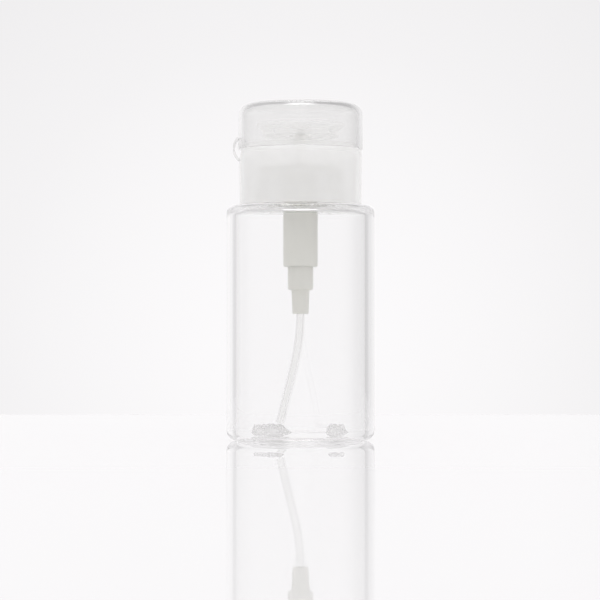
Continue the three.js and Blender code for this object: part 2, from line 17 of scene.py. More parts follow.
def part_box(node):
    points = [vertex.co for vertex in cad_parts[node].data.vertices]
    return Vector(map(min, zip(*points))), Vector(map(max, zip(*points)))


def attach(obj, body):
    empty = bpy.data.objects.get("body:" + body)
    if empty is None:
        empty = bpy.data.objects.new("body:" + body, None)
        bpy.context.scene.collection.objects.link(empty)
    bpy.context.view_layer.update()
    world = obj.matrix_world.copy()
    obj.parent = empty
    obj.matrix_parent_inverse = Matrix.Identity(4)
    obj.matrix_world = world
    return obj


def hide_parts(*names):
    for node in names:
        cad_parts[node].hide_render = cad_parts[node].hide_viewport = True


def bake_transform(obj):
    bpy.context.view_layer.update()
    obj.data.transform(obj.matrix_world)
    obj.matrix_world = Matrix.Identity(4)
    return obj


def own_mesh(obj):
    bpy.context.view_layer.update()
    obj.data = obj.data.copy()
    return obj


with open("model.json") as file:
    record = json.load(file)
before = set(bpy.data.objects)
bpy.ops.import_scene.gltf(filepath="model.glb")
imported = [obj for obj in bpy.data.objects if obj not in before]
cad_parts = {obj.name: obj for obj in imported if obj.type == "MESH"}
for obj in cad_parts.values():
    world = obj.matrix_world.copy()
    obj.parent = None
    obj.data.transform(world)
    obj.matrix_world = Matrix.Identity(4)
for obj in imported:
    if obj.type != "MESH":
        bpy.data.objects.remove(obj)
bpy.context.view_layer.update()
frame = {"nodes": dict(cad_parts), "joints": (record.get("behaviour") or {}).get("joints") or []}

MM = 0.001

# Roundness of the meshes
WIDE_SEGMENTS = 256
BODY_SEGMENTS = 128
SMALL_SEGMENTS = 96
CURVE_STEPS = 32
STRAP_STEPS = 20
CORNER_STEPS = 4
WIRE_SIDES = 12
LEAST_ARC_STEPS = 2
ARC_STEP = math.radians(7.5)
SHARP_ANGLE = math.radians(25)
WALL_ROW = 0.2
TUBE_ROW = 1
TIP_ROW = 2

# How close points are to be one, on the axis or on a wall, and how far past an edge a finish starts
DOUBLES = 0.0001
ON_AXIS = 0.000001
ON_WALL = 0.0001
FINISH_MARGIN = 0.1

# Fits and roundings that several pieces share
SLIDE_FIT = 0.15
SEAT_GAP = 0.1
EDGE_ROUNDING = 0.4
SLIGHT_ROUNDING = 0.2
SEAM_ROUNDING = 0.1
CUT_OVERRUN = 1

# Bottle
BOTTLE_WALL = 3.8
SHOULDER_THICKNESS = 2.2
SHOULDER_ROUNDING = 2.8
HEEL_ROUNDING = 4.2
INNER_ROUNDING = 2.2
FLOOR_ROUNDING = 0.8
STANDING_RING = 4.3
PUSH_UP = 0.9
FLOOR_THICKNESS = 2.4
FLOOR_RISE = 0.4
NECK_HEIGHT = 13
NECK_WALL = 2.15
NECK_INSET = 0.2
NECK_RIM_ROUNDING = 0.4

# Screw thread
THREAD_PITCH = 4.2
THREAD_DEPTH = 1.1
THREAD_ROOT = 2.4
THREAD_CREST = 0.4
THREAD_CLEARANCE = 0.35
THREAD_START = 4.6
THREAD_MARGIN = 1
NECK_TURNS = 1.25
CLOSURE_TURNS = 1
THREAD_FADE_SHARE = 0.12

# Pinch-off weld in the bottle's floor: left end, right end, left slope and right slope of each lump
WELD_LUMPS = ((-20.3, -3.0, 1.6, 5.0), (9.9, 20.2, 0.8, 3.0))
WELD_HEIGHT = 4.3
WELD_HALF_WIDTH = 3
WELD_UNDERSIDE_SHARE = 0.3
WELD_ROW = 0.3

# Crags of the weld, and how much finer and weaker their second layer is
WELD_CRAG = 5
WELD_CRAG_LENGTH = 6.5
WELD_CRAG_WIDTH = 1.5
WELD_FINER = 2.3
WELD_WEAKER = 5

# Closure
CLOSURE_TAPER = 0.25
SKIRT_WALL = 2.2
SLEEVE_WALL = 1.5
SLEEVE_LIFT = 0.7
SLEEVE_STEP = 0.6
DECK_THICKNESS = 1.8
DECK_DROP = 0.9
DIAPHRAGM = 1.4
LID_SEAT_WIDTH = 1.95
LID_SEAT_WALL = 1.3
TOP_STEP = 1.6
TOP_STEP_DEPTH = 0.15
TOP_CHAMFER = 0.15
STEM_OPENING = 7.55

# Lid
LID_WALL = 2.05
LID_TOP = 1.6
LID_CORNER = 4.6
LID_INNER_CORNER = 3
LID_GAP = 0.1

# Strap hinge: it is thinnest on its film line, and STRAP_SWELL is how fast it thickens from there
STRAP_WIDTH = 12
STRAP_THICKNESS = 1
STRAP_HEIGHT = 4.4
STRAP_FILM = 0.5
STRAP_SWELL = 2.5
STRAP_SINK = 0.1
STRAP_EDGE = 0.2
POCKET_HEIGHT = 3.8
POCKET_MARGIN = 0.5

# Pump body
PUMP_RADIUS = 7
PUMP_WALL = 1.4
GUIDE_POCKET_WALL = 0.7
GUIDE_DEPTH = 5
LIP_HEIGHT = 1
LIP_WIDTH = 0.3
PUMP_END_ROUNDING = 0.8
FLANGE_THICKNESS = 1.3

# Foot valve
FOOT_WALL = 1.15
FOOT_SHOULDER = 0.6
SPIGOT_LENGTH = 3.6
INLET_BORE = 1.6
SEAT_HEIGHT = 10.9
NIPPLE_LENGTH = 9.4
NIPPLE_TOP = 3.65
NIPPLE_END = 3.25
SOCKET_DEPTH = 9

# Dip tube
TUBE_RADIUS = 1.7
TUBE_WALL = 0.65
TUBE_BEND = 85
TUBE_LEAN = math.radians(13.8)

# Return spring
SPRING_WIRE = 0.8
SPRING_TURNS = 8
SPRING_END_TURNS = 1
SPRING_END_PITCH = 1.35

# Press plunger
PLUNGER_SKIRT_HEIGHT = 2.2
PLUNGER_SKIRT_WALL = 1.3
PLUNGER_DISC = 1.3
BOSS_WALL = 1.65
STEM_RADIUS = 2.6
STEM_ENGAGEMENT = 3.8
CHAMBER_BORE = 2.05
CHAMBER_WALL = 1.2

# Press tray
TRAY_RIM = 1.2
TRAY_RIM_HEIGHT = 0.9
TRAY_FLOOR = 1.1
TRAY_FALL = 0.4
TRAY_ROUNDING = 1.6

# Nozzle cap
NOZZLE_TOP = 0.8
NOZZLE_SLOT = 0.7
NOZZLE_REACH = 0.6

# Camera, worked out from the photograph's ellipses and heights
CAMERA_DISTANCE = 962
CAMERA_HEIGHT = 42.9
CAMERA_SIDE = -0.2
CAMERA_LENS = 142.4
CAMERA_SENSOR = 36
CAMERA_PITCH = math.radians(0.83)
CAMERA_REACH = 20000

# Colours of the plastics and the steel: a pair is the low and the high end of a slight variation
BOTTLE_COLOR = (0.985, 0.985, 0.985)
CLOSURE_COLORS = ((0.84, 0.84, 0.83), (0.86, 0.86, 0.85))
WHITE_COLORS = ((0.97, 0.97, 0.96), (0.99, 0.99, 0.98))
PRESS_COLORS = ((0.98, 0.98, 0.975), (1, 1, 0.995))
LID_COLORS = ((0.97, 0.97, 0.968), (0.98, 0.98, 0.978))
FROSTED_COLORS = ((0.87, 0.87, 0.865), (0.89, 0.89, 0.885))
WELD_COLORS = ((0.9, 0.9, 0.895), (0.95, 0.95, 0.945))
STRAP_COLORS = ((0.84, 0.84, 0.835), (0.86, 0.86, 0.855))
PUMP_COLORS = ((0.74, 0.74, 0.69), (0.78, 0.78, 0.73))
TUBE_COLORS = ((0.94, 0.94, 0.935), (0.96, 0.96, 0.955))
SEAL_COLORS = ((0.88, 0.89, 0.87), (0.92, 0.93, 0.91))
STEEL_COLOR = (0.77, 0.77, 0.78)

# Roughnesses, pairs as above
BOTTLE_ROUGHNESS = (0, 0.01)
MILKY_ROUGHNESS = (0.03, 0.08)
PALE_ROUGHNESS = (0.02, 0.05)
FROSTED_ROUGHNESS = (0.1, 0.14)
WELD_ROUGHNESS = (0.06, 0.15)
STEEL_ROUGHNESS = (0.14, 0.28)
TUBE_ROUGHNESS = 0.05
PUMP_ROUGHNESS = 0.35
SEAL_ROUGHNESS = 0.55

# Share of what lies behind it that each milky plastic hides
CLOSURE_COVER = 0.42
THIN_COVER = 0.12
PRESS_COVER = 0.28
WHITE_COVER = 0.3

# How far each clear plastic bends light. Tube and strap bend it little, which keeps their edges calm
BOTTLE_IOR = 1.57
LID_IOR = 1.49
TUBE_IOR = 1.2
STRAP_IOR = 1.12

# Range of a noise's values that a variation is spread over
NOISE_LOW = 0.3
NOISE_HIGH = 0.7

# Studio
GLASS_BOUNCES = 128
FLOOR_WIDTH = 3000
FLOOR_FRONT = -1600
FLOOR_BACK = 306
FLOOR_COLOR = (0.87, 0.866, 0.87)
FLOOR_IOR = 1.45
FLOOR_ROUGHNESS = 0.012
FIRST_BOUNCE = 1
NEW_STOP = 0.5

# Sockets of a Mix node set to vectors
MIX_OFF = 4
MIX_ON = 5
MIX_RESULT = 1

# Brightness of the studio by the direction looked in: +Y is behind the object, +X at its right
STUDIO_DEPTH = ((-1, 0.92), (0.3, 0.92), (0.5, 0.72), (0.76, 0.74), (0.84, 0.96), (1, 0.975))
STUDIO_SIDE = ((-1, 1), (0.1, 1), (0.16, 0.96), (0.3, 0.88), (1, 0.9))
STUDIO_HEIGHT = ((-1, 1), (0.25, 1), (0.5, 0.8), (0.955, 0.72), (0.97, 3.5), (1, 3.5))
BACKDROP_CORNERS = ((0.97, 0.83), (0.982, 0.868), (0.992, 0.906), (0.998, 0.955), (1, 0.975))
STUDIO_TINT = (1, 0.988, 0.997)
LIGHT_LEVEL = 1.08


def node_size(node):
    """Radius, lowest and highest point of a CAD node, in millimetres."""
    low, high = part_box(node)
    return high.x / MM, low.z / MM, high.z / MM


def joint_named(name):
    """A joint of the frame by its name."""
    return next(joint for joint in frame["joints"] if joint["name"] == name)


def rounded(corners):
    """Corners (radius, height, rounding) as an outline with each rounded corner drawn as an arc."""
    outline = []
    for i, corner in enumerate(corners):
        here = Vector(corner[:2])
        rounding = corner[2] if len(corner) > 2 else 0
        if not rounding:
            outline.append(here)
            continue
        to_before = (Vector(corners[i - 1][:2]) - here).normalized()
        to_after = (Vector(corners[(i + 1) % len(corners)][:2]) - here).normalized()
        half = math.acos(max(-1, min(1, to_before.dot(to_after)))) / 2
        centre = here + (to_before + to_after).normalized() * rounding / math.sin(half)
        start = here + to_before * rounding / math.tan(half) - centre
        turn = 1 if to_after.cross(to_before) > 0 else -1
        sweep = (math.pi - 2 * half) * turn
        steps = max(LEAST_ARC_STEPS, math.ceil(abs(sweep) / ARC_STEP))
        for step in range(steps + 1):
            angle = sweep * step / steps
            spun = Vector((start.x * math.cos(angle) - start.y * math.sin(angle),
                           start.x * math.sin(angle) + start.y * math.cos(angle)))
            outline.append(centre + spun)
    return outline


def rows(start, end, spacing):
    """Points from start to end, no further apart than spacing. The end itself is left out."""
    a, b = Vector(start), Vector(end)
    count = max(1, math.ceil((b - a).length / spacing))
    return [tuple(a.lerp(b, i / count)) for i in range(count)]


def dome(radius, height, rise, spacing):
    """Points of a shallow dome from its rim to its top on the axis."""
    sphere = (radius ** 2 + rise ** 2) / (2 * rise)
    sweep = math.asin(radius / sphere)
    steps = math.ceil(radius / spacing)
    angles = [sweep * (1 - i / steps) for i in range(steps + 1)]
    return [(sphere * math.sin(a), height + rise - sphere * (1 - math.cos(a))) for a in angles]


def mesh_object(name, verts, faces, material):
    """A mesh in millimetres as an object in metres, smooth with its sharp edges kept."""
    mesh = bpy.data.meshes.new(name)
    mesh.from_pydata([Vector(v) * MM for v in verts], [], faces)
    work = bmesh.new()
    work.from_mesh(mesh)
    bmesh.ops.remove_doubles(work, verts=work.verts, dist=DOUBLES * MM)
    bmesh.ops.recalc_face_normals(work, faces=work.faces)
    work.to_mesh(mesh)
    work.free()
    mesh.shade_smooth()
    mesh.set_sharp_from_angle(angle=SHARP_ANGLE)
    mesh.materials.append(material)
    obj = bpy.data.objects.new(name, mesh)
    bpy.context.scene.collection.objects.link(obj)
    return obj


def lathe(name, corners, material, segments=BODY_SEGMENTS, is_ring=True, shape=None):
    """A profile turned about Z. shape may move each point (a Vector in millimetres) afterwards."""
    outline = rounded(corners)
    area = sum(a.cross(b) for a, b in zip(outline, outline[1:] + outline[:1]))
    if area < 0:
        outline.reverse()
    verts, rings = [], []
    for point in outline:
        on_axis = abs(point.x) < ON_AXIS
        ring = []
        for i in range(1 if on_axis else segments):
            angle = 2 * math.pi * i / segments
            spot = Vector((point.x * math.cos(angle), point.x * math.sin(angle), point.y))
            ring.append(len(verts))
            verts.append(shape(spot) if shape else spot)
        rings.append(ring)
    pairs = list(zip(rings, rings[1:]))
    if is_ring:
        pairs.append((rings[-1], rings[0]))
    faces = []
    for low, high in pairs:
        for i in range(segments):
            j = (i + 1) % segments
            if len(low) == 1 and len(high) == 1:
                continue
            if len(low) == 1:
                faces.append((low[0], high[j], high[i]))
            elif len(high) == 1:
                faces.append((low[i], low[j], high[0]))
            else:
                faces.append((low[i], low[j], high[j], high[i]))
    return mesh_object(name, verts, faces, material)


def tube_of_rings(name, rings, material, closed_ends=True):
    """Rings of points joined into one tube. Open ends are closed flat."""
    sides = len(rings[0])
    verts = [point for ring in rings for point in ring]
    faces = []
    for r in range(len(rings) - 1):
        for s in range(sides):
            a, b = r * sides + s, r * sides + (s + 1) % sides
            faces.append((a, b, b + sides, a + sides))
    if closed_ends:
        last = (len(rings) - 1) * sides
        faces.append(tuple(reversed(range(sides))))
        faces.append(tuple(range(last, last + sides)))
    return mesh_object(name, verts, faces, material)


def prism(name, outline, width, material):
    """An outline in X and Z as a prism along Y, centred on the outline's plane."""
    count = len(outline)
    verts = [(x, side * width / 2, z) for side in (-1, 1) for x, z in outline]
    faces = [tuple(range(count)), tuple(reversed(range(count, 2 * count)))]
    for i in range(count):
        j = (i + 1) % count
        faces.append((i, i + count, j + count, j))
    return mesh_object(name, verts, faces, material)


def added_finish(obj, material, is_there):
    """Gives another material to the faces whose middles, in millimetres, are where is_there says."""
    obj.data.materials.append(material)
    for face in obj.data.polygons:
        if is_there(face.center / MM):
            face.material_index = len(obj.data.materials) - 1


def cut(obj, tool):
    """Cuts tool out of obj and removes tool."""
    modifier = obj.modifiers.new("cut", "BOOLEAN")
    modifier.operation = "DIFFERENCE"
    modifier.solver = "EXACT"
    modifier.object = tool
    graph = bpy.context.evaluated_depsgraph_get()
    made = bpy.data.meshes.new_from_object(obj.evaluated_get(graph))
    obj.modifiers.remove(modifier)
    obj.data = made
    made.set_sharp_from_angle(angle=SHARP_ANGLE)
    bpy.data.objects.remove(tool)


def thread_relief(wall_radius, outwards, turns, start_height, clear_range):
    """A function that raises one helical ridge on the wall at wall_radius, within clear_range."""
    low, high = clear_range

    def shape(spot):
        radius = spot.xy.length
        if abs(radius - wall_radius) > ON_WALL or not low < spot.z < high:
            return spot
        angle = math.atan2(spot.y, spot.x) % (2 * math.pi)
        rise = 0
        for turn in range(math.ceil(turns)):
            along = (angle / (2 * math.pi) + turn) / turns
            if not 0 <= along <= 1:
                continue
            middle = start_height + THREAD_PITCH * along * turns
            fade = min(1, min(along, 1 - along) / THREAD_FADE_SHARE)
            slope = (THREAD_ROOT / 2 - abs(spot.z - middle)) / ((THREAD_ROOT - THREAD_CREST) / 2)
            rise = max(rise, THREAD_DEPTH * fade * max(0, min(1, slope)))
        scale = (radius + outwards * rise) / radius
        return Vector((spot.x * scale, spot.y * scale, spot.z))

    return shape


def weld_relief(spot, share=1):
    """Raises the craggy weld lumps, whose ridges run along the pinch line, by a share of their height."""
    across = 1 - (spot.y / WELD_HALF_WIDTH) ** 2
    rise = 0
    for left, right, left_slope, right_slope in WELD_LUMPS:
        along = min(1, (spot.x - left) / left_slope, (right - spot.x) / right_slope)
        rise = max(rise, WELD_HEIGHT * along * across) if across > 0 else 0
    if not rise:
        return spot
    place = Vector((spot.x / WELD_CRAG_LENGTH, spot.y / WELD_CRAG_WIDTH, 0))
    crag = noise.noise(place) + noise.noise(place * WELD_FINER) / WELD_WEAKER
    return spot + Vector((0, 0, share * max(0, rise - WELD_CRAG * abs(crag))))


def shader(name, color, roughness, **inputs):
    """A material with one Principled shader, its node tree and that shader."""
    material = bpy.data.materials.new(name)
    material.use_nodes = True
    tree = material.node_tree
    principled = tree.nodes["Principled BSDF"]
    principled.inputs["Base Color"].default_value = (*color, 1)
    principled.inputs["Roughness"].default_value = roughness
    for key, value in inputs.items():
        principled.inputs[key.replace("_", " ")].default_value = value
    return material, tree, principled


def surface_noise(tree, scale, detail=2.0, stretch=(1, 1, 1)):
    """A noise texture in the object's own coordinates."""
    place = tree.nodes.new("ShaderNodeTexCoord")
    mapping = tree.nodes.new("ShaderNodeMapping")
    mapping.inputs["Scale"].default_value = stretch
    texture = tree.nodes.new("ShaderNodeTexNoise")
    texture.inputs["Scale"].default_value = scale
    texture.inputs["Detail"].default_value = detail
    tree.links.new(place.outputs["Object"], mapping.inputs["Vector"])
    tree.links.new(mapping.outputs["Vector"], texture.inputs["Vector"])
    return texture


def vary(tree, texture, socket, low, high):
    """Drives a socket between two values by a texture."""
    span = tree.nodes.new("ShaderNodeMapRange")
    span.inputs["From Min"].default_value = NOISE_LOW
    span.inputs["From Max"].default_value = NOISE_HIGH
    span.inputs["To Min"].default_value = low
    span.inputs["To Max"].default_value = high
    tree.links.new(texture.outputs["Fac"], span.inputs["Value"])
    tree.links.new(span.outputs["Result"], socket)


def vary_color(tree, texture, socket, low, high):
    """Drives a colour socket between two colours by a texture."""
    ramp = tree.nodes.new("ShaderNodeValToRGB")
    ramp.color_ramp.elements[0].position = NOISE_LOW
    ramp.color_ramp.elements[0].color = (*low, 1)
    ramp.color_ramp.elements[1].position = NOISE_HIGH
    ramp.color_ramp.elements[1].color = (*high, 1)
    tree.links.new(texture.outputs["Fac"], ramp.inputs["Fac"])
    tree.links.new(ramp.outputs["Color"], socket)


def bump(tree, texture, principled, distance, strength):
    """Raises the surface by a texture, by up to a distance in millimetres."""
    node = tree.nodes.new("ShaderNodeBump")
    node.inputs["Strength"].default_value = strength
    node.inputs["Distance"].default_value = distance * MM
    tree.links.new(texture.outputs["Fac"], node.inputs["Height"])
    tree.links.new(node.outputs["Normal"], principled.inputs["Normal"])


def clear_plastic():
    material, tree, principled = shader("clear_bottle_plastic", BOTTLE_COLOR, BOTTLE_ROUGHNESS[1],
                                        Transmission_Weight=1.0, IOR=BOTTLE_IOR)
    waves = surface_noise(tree, scale=45, detail=1.0, stretch=(1, 1, 0.35))
    bump(tree, waves, principled, distance=0.02, strength=0.25)
    vary(tree, surface_noise(tree, scale=180), principled.inputs["Roughness"], *BOTTLE_ROUGHNESS)
    return material


def cloudy_plastic(name, colors, roughness, **inputs):
    """Plastic whose colour and roughness vary slightly, each between a low and a high value."""
    material, tree, principled = shader(name, colors[1], roughness[0], **inputs)
    vary_color(tree, surface_noise(tree, scale=120), principled.inputs["Base Color"], *colors)
    vary(tree, surface_noise(tree, scale=400), principled.inputs["Roughness"], *roughness)
    bump(tree, surface_noise(tree, scale=90), principled, distance=0.02, strength=0.2)
    return material


def milky_plastic(name, cover, colors):
    """Milky plastic that hides a share of what is behind it."""
    return cloudy_plastic(name, colors, MILKY_ROUGHNESS, Alpha=cover, Specular_IOR_Level=1.0)


def pale_plastic(name, colors, roughness, bend=LID_IOR):
    """Pale see-through plastic, and how far it bends light."""
    return cloudy_plastic(name, colors, roughness, Transmission_Weight=1.0, IOR=bend)


def natural_plastic():
    material, tree, principled = shader("natural_pump_plastic", PUMP_COLORS[1], PUMP_ROUGHNESS,
                                        Transmission_Weight=0.2)
    streaks = surface_noise(tree, scale=150, detail=3.0, stretch=(1, 1, 0.3))
    vary_color(tree, streaks, principled.inputs["Base Color"], *PUMP_COLORS)
    bump(tree, surface_noise(tree, scale=700), principled, distance=0.02, strength=0.3)
    return material


def tube_plastic():
    material, tree, principled = shader("drawn_tube_plastic", TUBE_COLORS[1], TUBE_ROUGHNESS,
                                        Transmission_Weight=1.0, IOR=TUBE_IOR)
    streaks = surface_noise(tree, scale=120, stretch=(1, 1, 0.1))
    vary_color(tree, streaks, principled.inputs["Base Color"], *TUBE_COLORS)
    waves = surface_noise(tree, scale=20, detail=0.0, stretch=(1, 1, 0.3))
    bump(tree, waves, principled, distance=0.005, strength=0.2)
    return material


def seal_plastic():
    material, tree, principled = shader("soft_seal_plastic", SEAL_COLORS[1], SEAL_ROUGHNESS)
    clouds = surface_noise(tree, scale=300, detail=3.0)
    vary_color(tree, clouds, principled.inputs["Base Color"], *SEAL_COLORS)
    bump(tree, surface_noise(tree, scale=1500), principled, distance=0.03, strength=0.4)
    return material


def steel():
    material, tree, principled = shader("bright_steel", STEEL_COLOR, STEEL_ROUGHNESS[1], Metallic=1.0)
    sheen = surface_noise(tree, scale=900, detail=3.0)
    vary(tree, sheen, principled.inputs["Roughness"], *STEEL_ROUGHNESS)
    bump(tree, surface_noise(tree, scale=2500), principled, distance=0.01, strength=0.3)
    return material


clear = clear_plastic()
milky = milky_plastic("milky_closure_plastic", CLOSURE_COVER, CLOSURE_COLORS)
milky_thin = milky_plastic("thin_closure_plastic", THIN_COVER, WHITE_COLORS)
milky_press = milky_plastic("milky_press_plastic", PRESS_COVER, PRESS_COLORS)
milky_white = milky_plastic("milky_white_plastic", WHITE_COVER, WHITE_COLORS)
lid_clear = pale_plastic("pale_lid_plastic", LID_COLORS, PALE_ROUGHNESS)
lid_frosted = pale_plastic("frosted_lid_plastic", FROSTED_COLORS, FROSTED_ROUGHNESS)
weld_dull = pale_plastic("pinched_weld_plastic", WELD_COLORS, WELD_ROUGHNESS, BOTTLE_IOR)
strap_clear = pale_plastic("pale_strap_plastic", STRAP_COLORS, PALE_ROUGHNESS, STRAP_IOR)
natural = natural_plastic()
tubing = tube_plastic()
seal = seal_plastic()
metal = steel()

# Places that several pieces share, read from the frame
bottle_radius, _, rim_height = node_size("bottle")
gasket_radius, _, _ = node_size("rim_gasket")
closure_radius, closure_base, seat_top = node_size("screw_closure")
lid_radius, _, lid_top = node_size("flip_lid")
hinge_x, _, hinge_z = [place / MM for place in joint_named("lid_hinge")["pos_m"]]
pump_flange, pump_base, flange_top = node_size("pump_body")
spigot_radius, foot_base, spigot_top = node_size("foot_valve")
_, tube_tip, tube_top = node_size("dip_tube")
spring_outer, spring_base, spring_top = node_size("return_spring")
plunger_radius, boss_base, chamber_top = node_size("press_plunger")
tray_radius, tray_base, tray_top = node_size("press_tray")
nozzle_radius, nozzle_base, nozzle_top = node_size("nozzle_cap")
neck_radius = gasket_radius + NECK_INSET
body_height = rim_height - NECK_HEIGHT
sleeve_bore = neck_radius + THREAD_DEPTH + THREAD_CLEARANCE
stem_socket = STEM_RADIUS + SLIDE_FIT


def make_bottle():
    inner = bottle_radius - BOTTLE_WALL
    bore = neck_radius - NECK_WALL
    ceiling = body_height - SHOULDER_THICKNESS
    standing = bottle_radius - HEEL_ROUNDING - STANDING_RING
    inner_edge = inner - FLOOR_ROUNDING
    floor_top = FLOOR_THICKNESS + FLOOR_RISE + FINISH_MARGIN
    thread_low = body_height + THREAD_MARGIN
    thread_high = rim_height - THREAD_MARGIN
    thread = thread_relief(neck_radius, 1, NECK_TURNS, body_height + THREAD_START,
                           (thread_low, thread_high))

    def shape(spot):
        if spot.z > body_height:
            return thread(spot)
        if spot.z > floor_top or spot.xy.length > inner_edge:
            return spot
        is_inside = spot.z > FLOOR_THICKNESS - FINISH_MARGIN
        return weld_relief(spot) if is_inside else weld_relief(spot, WELD_UNDERSIDE_SHARE)

    bottle = lathe("clear_bottle", [
        *reversed(dome(standing, 0, PUSH_UP, WELD_ROW)),
        (bottle_radius, 0, HEEL_ROUNDING),
        (bottle_radius, body_height, SHOULDER_ROUNDING),
        (neck_radius, body_height, EDGE_ROUNDING),
        *rows((neck_radius, thread_low), (neck_radius, thread_high), WALL_ROW),
        (neck_radius, rim_height, NECK_RIM_ROUNDING),
        (bore, rim_height, NECK_RIM_ROUNDING),
        (bore, ceiling, EDGE_ROUNDING),
        (inner, ceiling, INNER_ROUNDING),
        (inner, FLOOR_THICKNESS, FLOOR_ROUNDING),
        *rows((inner_edge, FLOOR_THICKNESS), (standing, FLOOR_THICKNESS), WELD_ROW),
        *dome(standing, FLOOR_THICKNESS, FLOOR_RISE, WELD_ROW),
    ], clear, WIDE_SEGMENTS, is_ring=False, shape=shape)
    added_finish(bottle, weld_dull,
                 lambda spot: floor_top < spot.z < floor_top + WELD_HEIGHT and spot.xy.length < inner_edge)
    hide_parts("bottle")
    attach(bottle, "bottle")


def make_closure():
    deck = hinge_z - DECK_DROP
    seat = closure_radius - LID_SEAT_WIDTH
    seat_bore = seat - LID_SEAT_WALL
    skirt_bore = closure_radius - SKIRT_WALL
    sleeve = sleeve_bore + SLEEVE_WALL
    diaphragm = flange_top + SEAT_GAP
    sleeve_base = closure_base + SLEEVE_LIFT
    thread_start = body_height + THREAD_START - THREAD_PITCH / 2
    thread = thread_relief(sleeve_bore, -1, CLOSURE_TURNS, thread_start,
                           (sleeve_base, diaphragm))
    closure = lathe("milky_closure", [
        (closure_radius - CLOSURE_TAPER, closure_base, EDGE_ROUNDING),
        (closure_radius, hinge_z - TOP_STEP - TOP_STEP_DEPTH),
        (closure_radius - TOP_STEP_DEPTH, hinge_z - TOP_STEP),
        (closure_radius - TOP_STEP_DEPTH, hinge_z - TOP_CHAMFER),
        (closure_radius - TOP_STEP_DEPTH - TOP_CHAMFER, hinge_z),
        (seat, hinge_z, SEAM_ROUNDING),
        (seat, seat_top, EDGE_ROUNDING),
        (seat_bore, seat_top, EDGE_ROUNDING),
        (seat_bore, deck),
        (sleeve_bore, deck, EDGE_ROUNDING),
        (sleeve_bore, diaphragm + DIAPHRAGM),
        (STEM_OPENING, diaphragm + DIAPHRAGM),
        (STEM_OPENING, diaphragm),
        *rows((sleeve_bore, diaphragm), (sleeve_bore, sleeve_base), WALL_ROW),
        (sleeve_bore, sleeve_base),
        (sleeve, sleeve_base),
        (sleeve, diaphragm - SLEEVE_STEP),
        (sleeve - SLEEVE_STEP, diaphragm),
        (sleeve - SLEEVE_STEP, deck - DECK_THICKNESS),
        (skirt_bore, deck - DECK_THICKNESS),
        (skirt_bore - CLOSURE_TAPER, closure_base),
    ], milky, WIDE_SEGMENTS, shape=thread)
    added_finish(closure, milky_thin,
                 lambda spot: spot.z > diaphragm + FINISH_MARGIN and spot.xy.length < skirt_bore)
    low = hinge_z - STRAP_HEIGHT
    face = -closure_radius
    pocket = prism("pocket", [
        (face - CUT_OVERRUN, low),
        (face, low),
        (face + LID_SEAT_WIDTH - EDGE_ROUNDING, low + POCKET_HEIGHT),
        (face + LID_SEAT_WIDTH - EDGE_ROUNDING, hinge_z + CUT_OVERRUN),
        (face - CUT_OVERRUN, hinge_z + CUT_OVERRUN),
    ], STRAP_WIDTH + 2 * POCKET_MARGIN, milky)
    cut(closure, pocket)
    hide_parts("screw_closure")
    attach(closure, "closure")


def make_lid():
    base = hinge_z + LID_GAP
    bore = lid_radius - LID_WALL
    ceiling = lid_top - LID_TOP
    lid = lathe("milky_lid", [
        (0, ceiling),
        (bore, ceiling, LID_INNER_CORNER),
        (bore, base),
        (lid_radius, base, SEAM_ROUNDING),
        (lid_radius, lid_top, LID_CORNER),
        (0, lid_top),
    ], lid_clear, WIDE_SEGMENTS, is_ring=False)
    added_finish(lid, lid_frosted,
                 lambda spot: spot.z < ceiling + FINISH_MARGIN and spot.xy.length < bore + FINISH_MARGIN)
    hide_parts("flip_lid")
    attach(lid, "lid")


def strap_half(wall, side):
    """Middle points and outward directions of the strap from its film line to the wall."""
    reach = wall + STRAP_SINK - hinge_x
    radius = (STRAP_HEIGHT ** 2 + reach ** 2) / (2 * reach)
    sweep = math.asin(STRAP_HEIGHT / radius)
    half = []
    for i in range(STRAP_STEPS + 1):
        angle = sweep * i / STRAP_STEPS
        out = Vector((-math.cos(angle), 0, side * math.sin(angle)))
        half.append((Vector((hinge_x + radius, 0, hinge_z)) + radius * out, out))
    return half


def strap_section(middle, out, thickness):
    """One rounded section across the strap."""
    side = Vector((0, 1, 0))
    section = []
    for corner in range(4):
        for step in range(CORNER_STEPS + 1):
            angle = math.pi / 2 * (corner + step / CORNER_STEPS)
            a = (thickness / 2 - STRAP_EDGE) * (1 if corner in (0, 3) else -1)
            b = (STRAP_WIDTH / 2 - STRAP_EDGE) * (1 if corner in (0, 1) else -1)
            section.append(middle + out * (a + STRAP_EDGE * math.cos(angle))
                           + side * (b + STRAP_EDGE * math.sin(angle)))
    return section


def make_strap():
    """The moulded strap: one bowed band, thinned at its middle line."""
    low = strap_half(-closure_radius, -1)
    high = strap_half(-lid_radius, 1)
    sections = []
    for middle, out in low[:0:-1] + high:
        share = min(1, STRAP_SWELL * abs(middle.z - hinge_z) / STRAP_HEIGHT)
        thickness = STRAP_FILM + (STRAP_THICKNESS - STRAP_FILM) * share
        sections.append(strap_section(middle, out, thickness))
    strap = tube_of_rings("hinge_strap", sections, strap_clear)
    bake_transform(strap)


